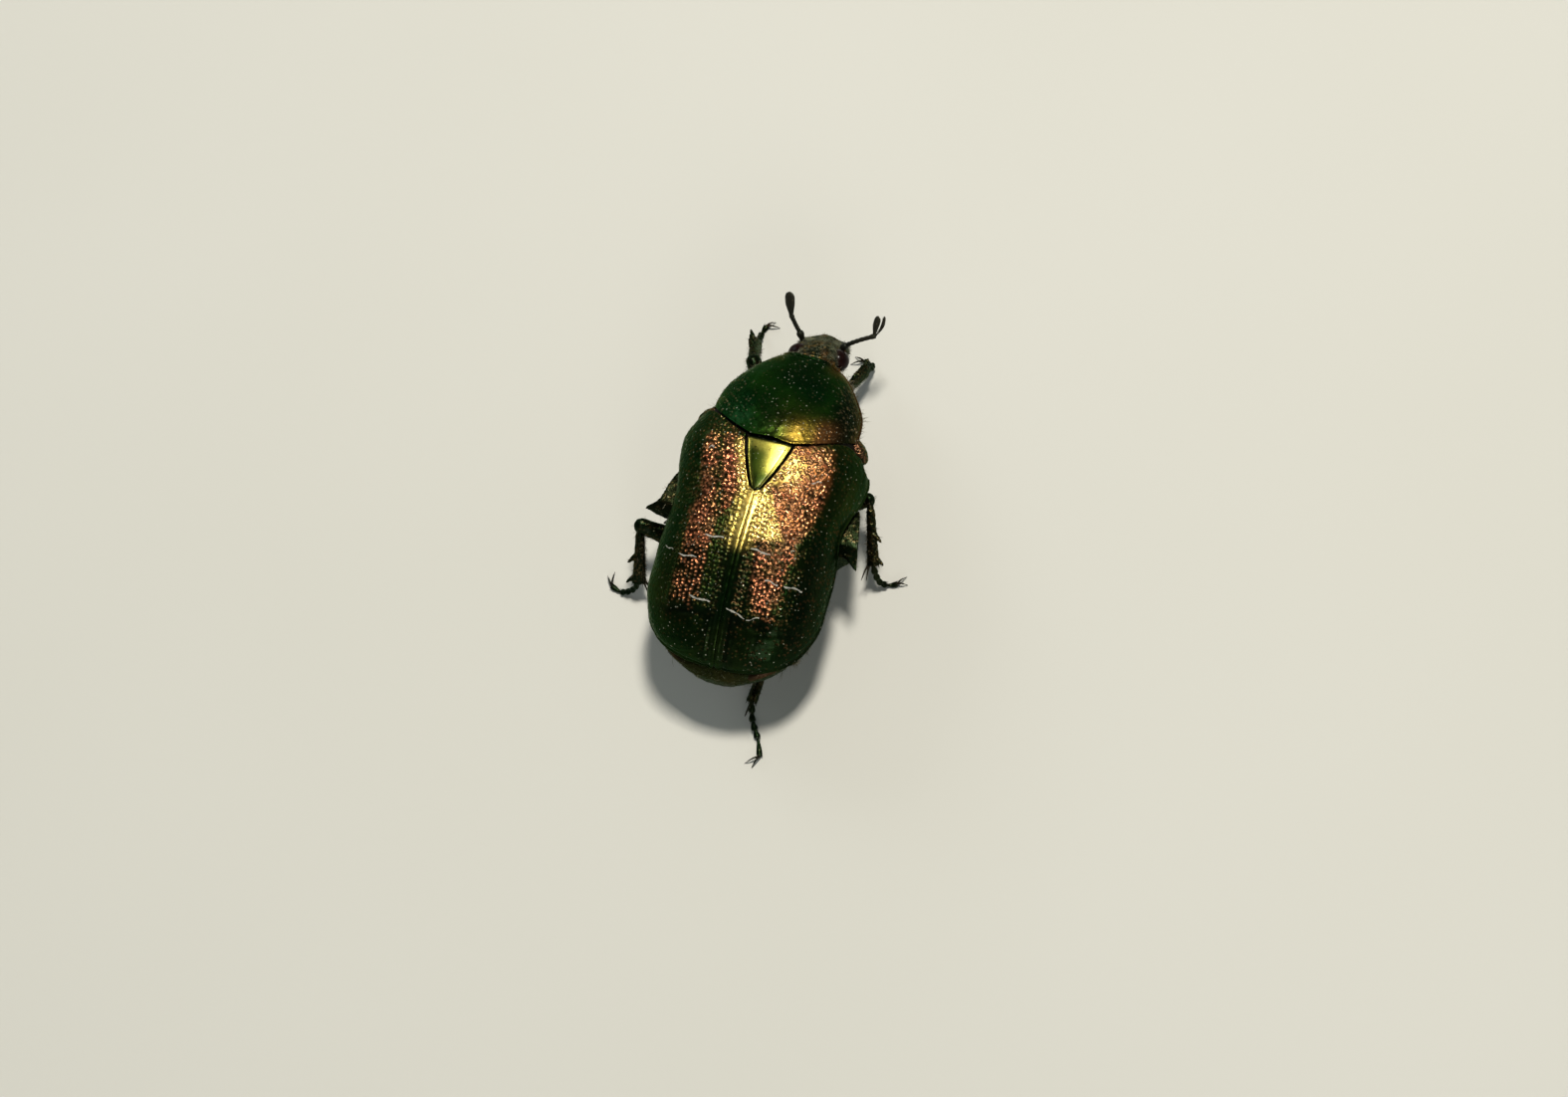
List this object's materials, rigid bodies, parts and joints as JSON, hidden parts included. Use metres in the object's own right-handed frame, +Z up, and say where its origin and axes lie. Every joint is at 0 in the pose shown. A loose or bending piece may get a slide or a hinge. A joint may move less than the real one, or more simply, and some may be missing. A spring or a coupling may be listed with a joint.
{
  "type": "rose chafer",
  "caption": "Rose chafer beetle standing on flat feet, with domed metallic wing cases, a shield-like pronotum, a triangular scutellum, clubbed antennae and toothed legs.",
  "frame": {"origin": "on the floor, under the middle of the bounding box", "axes": "-Y forwards, where the head looks; +X towards the beetle's left side; +Z up from the floor on which the feet stand"},
  "size_m": [0.015, 0.0232, 0.0085],
  "materials": {
    "metallic_green": "metallic green cuticle with copper punctures, glossy",
    "metallic_copper": "copper-red and green metallic cuticle with rows of punctures, glossy",
    "dark_cuticle": "blackish green cuticle with copper punctures and short pale hair, satin",
    "eye_brown": "dark red-brown facets, glossy",
    "pygidium_bronze": "dull bronze cuticle, satin"
  },
  "bodies": {
    "root": {"abdomen": "dark_cuticle", "antenna_left": "dark_cuticle", "antenna_right": "dark_cuticle", "elytron_left": "metallic_copper", "elytron_right": "metallic_copper", "eye_left": "eye_brown", "eye_right": "eye_brown", "fore_left_coxa": "dark_cuticle", "fore_left_femur": "dark_cuticle", "fore_left_tarsus": "dark_cuticle", "fore_left_tibia": "dark_cuticle", "fore_right_coxa": "dark_cuticle", "fore_right_femur": "dark_cuticle", "fore_right_tarsus": "dark_cuticle", "fore_right_tibia": "dark_cuticle", "head": "dark_cuticle", "hind_left_coxa": "dark_cuticle", "hind_left_femur": "dark_cuticle", "hind_left_tarsus": "dark_cuticle", "hind_left_tibia": "dark_cuticle", "hind_right_coxa": "dark_cuticle", "hind_right_femur": "dark_cuticle", "hind_right_tarsus": "dark_cuticle", "hind_right_tibia": "dark_cuticle", "mid_left_coxa": "dark_cuticle", "mid_left_femur": "dark_cuticle", "mid_left_tarsus": "dark_cuticle", "mid_left_tibia": "dark_cuticle", "mid_right_coxa": "dark_cuticle", "mid_right_femur": "dark_cuticle", "mid_right_tarsus": "dark_cuticle", "mid_right_tibia": "dark_cuticle", "pronotum": "metallic_green", "prosternum": "dark_cuticle", "pygidium": "pygidium_bronze", "scutellum": "metallic_green", "thorax": "dark_cuticle"}
  },
  "joints": []
}
